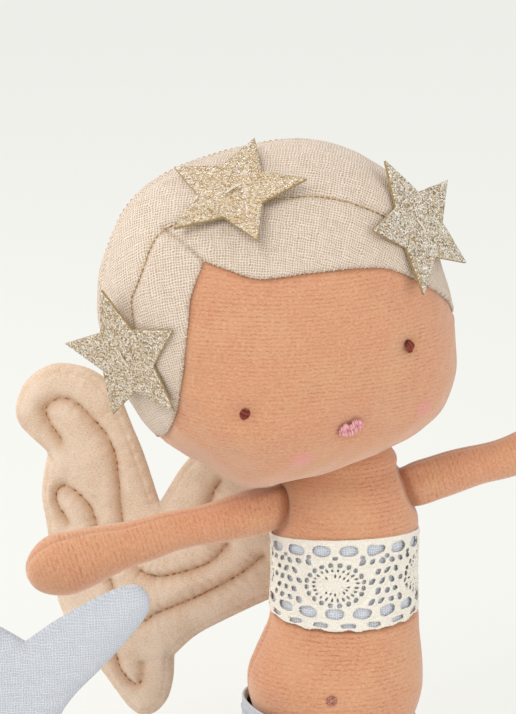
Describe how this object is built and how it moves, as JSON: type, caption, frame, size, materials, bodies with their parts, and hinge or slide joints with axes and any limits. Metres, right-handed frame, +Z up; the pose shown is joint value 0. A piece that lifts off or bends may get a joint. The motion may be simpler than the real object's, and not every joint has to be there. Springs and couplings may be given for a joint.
{
  "type": "plush mermaid",
  "caption": "Stuffed cloth mermaid doll with a big tilted head, felt stars, lace band, wings and a curled tail it sits on.",
  "frame": {"origin": "on the floor, on the flat underside of the tail seat, below the middle of the hips", "axes": "+Z up, the face looks along -Y, +X is the viewer's right"},
  "size_m": [0.2387, 0.1704, 0.2401],
  "materials": {
    "skin_velour": "ribbed knit velour, matt",
    "hair_linen": "open-weave linen, matt",
    "tail_linen": "plain-weave linen, matt",
    "wing_velour": "brushed velour, top-stitched, matt",
    "lace": "cotton lace, matt",
    "stuffing": "polyester fibre",
    "eye_thread": "satin stitch",
    "mouth_thread": "satin stitch",
    "navel_thread": "knotted thread",
    "gold_thread": "metallic thread",
    "glitter_felt": "glitter-coated felt"
  },
  "bodies": {
    "tail_seat": {"tail_seat_cover": "tail_linen", "tail_seat_filling": "stuffing"},
    "torso": {"torso_front_panel": "skin_velour", "torso_back_panel": "skin_velour", "torso_filling": "stuffing", "band_lining": "tail_linen", "lace_band": "lace", "navel_knot": "navel_thread"},
    "head": {"face_panel": "skin_velour", "hair_front_panel": "hair_linen", "hair_back_panel": "hair_linen", "head_filling": "stuffing", "left_eye": "eye_thread", "right_eye": "eye_thread", "mouth": "mouth_thread", "star_left": "glitter_felt", "star_left_stitch": "gold_thread", "star_top": "glitter_felt", "star_top_stitch": "gold_thread", "star_right": "glitter_felt", "star_right_stitch": "gold_thread"},
    "left_arm": {"left_arm_cover": "skin_velour", "left_arm_filling": "stuffing"},
    "right_arm": {"right_arm_cover": "skin_velour", "right_arm_filling": "stuffing"},
    "left_wing": {"left_wing_front": "wing_velour", "left_wing_back": "wing_velour", "left_wing_wadding": "stuffing"},
    "right_wing": {"right_wing_front": "wing_velour", "right_wing_back": "wing_velour", "right_wing_wadding": "stuffing"},
    "tail_end": {"tail_end_cover": "tail_linen", "tail_end_filling": "stuffing"},
    "fin": {"fin_front": "tail_linen", "fin_back": "tail_linen", "fin_wadding": "stuffing"}
  },
  "joints": [
    {"name": "hip_lean", "type": "hinge", "parent": "tail_seat", "child": "torso", "pos_m": [0, 0, 0.06], "axis": [0, 1, 0], "range_deg": [-8, 8]},
    {"name": "head_tilt", "type": "hinge", "parent": "torso", "child": "head", "pos_m": [0, 0, 0.129], "axis": [0, 1, 0], "range_deg": [-2, 18.5]},
    {"name": "left_arm_swing", "type": "hinge", "parent": "torso", "child": "left_arm", "pos_m": [-0.02349, -0.003, 0.1183], "axis": [0, 0, 1], "range_deg": [-13, 8]},
    {"name": "right_arm_swing", "type": "hinge", "parent": "torso", "child": "right_arm", "pos_m": [0.02121, -0.003, 0.1235], "axis": [0, 0, 1], "range_deg": [-20, 20]},
    {"name": "left_wing_flap", "type": "hinge", "parent": "torso", "child": "left_wing", "pos_m": [-0.003, 0.02307, 0.105], "axis": [0, 0, 1], "range_deg": [-35, 12]},
    {"name": "right_wing_flap", "type": "hinge", "parent": "torso", "child": "right_wing", "pos_m": [0.003, 0.02271, 0.105], "axis": [0, 0, 1], "range_deg": [-20, 6]},
    {"name": "tail_bend", "type": "hinge", "parent": "tail_seat", "child": "tail_end", "pos_m": [-0.052, -0.018, 0.018], "axis": [0, 1, 0], "range_deg": [0, 15]},
    {"name": "fin_flap", "type": "hinge", "parent": "tail_end", "child": "fin", "pos_m": [-0.1064, -0.042, 0.062], "axis": [1, 0, 0], "range_deg": [-10, 25]}
  ]
}
